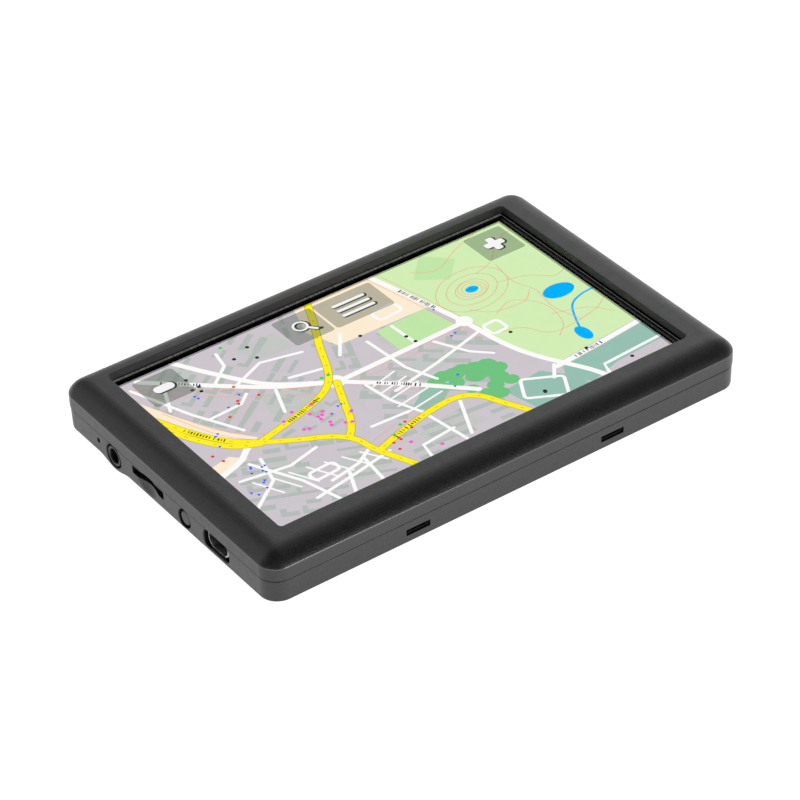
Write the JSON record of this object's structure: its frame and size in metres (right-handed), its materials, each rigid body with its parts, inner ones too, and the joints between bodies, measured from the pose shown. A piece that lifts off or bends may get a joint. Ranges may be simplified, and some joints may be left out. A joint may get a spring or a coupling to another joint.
{
  "type": "portable gps navigator",
  "caption": "Flat rectangular in-car satellite navigator with a framed touch screen, side ports, a rear speaker and slots for a cradle.",
  "frame": {"origin": "middle of the footprint, on the surface that the flat back rests on", "axes": "+X to the device's right, +Y to its top edge, +Z the way the screen faces"},
  "size_m": [0.1294, 0.0842, 0.0139],
  "materials": {
    "housing": "fine spark-eroded texture, semi-matte charcoal",
    "black_plastic": "plain moulded black",
    "white_plastic": "plain moulded off-white",
    "touch_film": "clear film with a glossy face and a black border",
    "touch_glass": "clear thin glass",
    "screen": "lit colour display showing an invented map",
    "diffuser": "milky light guide",
    "steel": "bright tinned sheet",
    "board": "green solder mask",
    "chip": "black moulded package",
    "ceramic": "unglazed ceramic",
    "silver": "bright plated metal",
    "cell": "laminated foil pouch",
    "flex": "amber polyimide film",
    "rubber": "black foam and wire insulation",
    "red_wire": "red wire insulation",
    "cone": "dark film cone"
  },
  "bodies": {
    "root": {"front_shell": "housing", "rear_shell": "housing", "housing_screw_1": "steel", "housing_screw_2": "steel", "housing_screw_3": "steel", "housing_screw_4": "steel", "window_gasket": "rubber", "touch_film": "touch_film", "touch_glass": "touch_glass", "lcd_panel": "screen", "lcd_backlight": "diffuser", "lcd_chassis": "steel", "main_board": "board", "processor_chip": "chip", "memory_chip": "chip", "flash_chip": "chip", "power_chip": "chip", "power_inductor": "chip", "crystal_can": "steel", "receiver_shield": "steel", "antenna_ceramic": "ceramic", "antenna_electrode": "silver", "lcd_flex": "flex", "lcd_flex_connector": "white_plastic", "touch_flex": "flex", "touch_flex_connector": "white_plastic", "jack_body": "black_plastic", "jack_contact": "silver", "card_socket_shell": "steel", "power_switch_body": "black_plastic", "reset_switch_body": "black_plastic", "usb_shell": "steel", "usb_tongue": "black_plastic", "battery_pad": "rubber", "battery_cell": "cell", "battery_connector": "white_plastic", "battery_wire_red": "red_wire", "battery_wire_black": "rubber", "speaker_gasket": "rubber", "speaker_basket": "steel", "speaker_magnet": "silver", "speaker_connector": "white_plastic", "speaker_wire_a": "red_wire", "speaker_wire_b": "rubber"},
    "power_key": {"power_button": "black_plastic", "power_switch_plunger": "white_plastic"},
    "reset_key": {"reset_switch_plunger": "white_plastic"},
    "card_carriage": {"card_slider": "white_plastic"},
    "speaker_diaphragm": {"speaker_cone": "cone"}
  },
  "joints": [
    {"name": "power_press", "type": "slide", "parent": "root", "child": "power_key", "axis": [1, 0, 0], "range_m": [0, 0.0003], "stiffness_N_per_m": 400, "springref_m": -0.0008},
    {"name": "reset_press", "type": "slide", "parent": "root", "child": "reset_key", "axis": [1, 0, 0], "range_m": [0, 0.00025], "stiffness_N_per_m": 400, "springref_m": -0.0008},
    {"name": "card_push", "type": "slide", "parent": "root", "child": "card_carriage", "axis": [1, 0, 0], "range_m": [0, 0.001], "stiffness_N_per_m": 200, "springref_m": -0.001},
    {"name": "cone_stroke", "type": "slide", "parent": "root", "child": "speaker_diaphragm", "axis": [0, 0, 1], "range_m": [-0.0003, 0.0003], "stiffness_N_per_m": 800}
  ]
}
